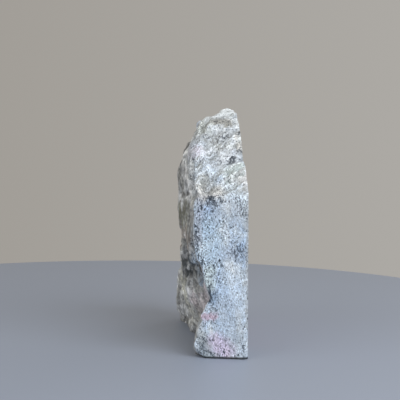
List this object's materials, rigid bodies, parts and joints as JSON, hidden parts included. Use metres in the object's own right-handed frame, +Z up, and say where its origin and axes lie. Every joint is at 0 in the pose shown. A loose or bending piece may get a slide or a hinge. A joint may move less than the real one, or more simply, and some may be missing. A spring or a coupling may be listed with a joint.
{
  "type": "polished tugtupite slab",
  "caption": "Free-standing slab of tugtupite rock with a sawn base, a polished face, a trimmed end and a rough natural side that tapers to a broken tip.",
  "frame": {"origin": "middle of the bounding box at the height of the sawn base, on which the stone stands", "axes": "+Z up from the base to the tip; +X out of the polished face; -Y out of the trimmed front end"},
  "size_m": [0.031, 0.122, 0.14],
  "materials": {
    "tugtupite_rock": "rough natural and sawn rock, with one polished face"
  },
  "bodies": {
    "root": {"tugtupite": "tugtupite_rock"}
  },
  "joints": []
}
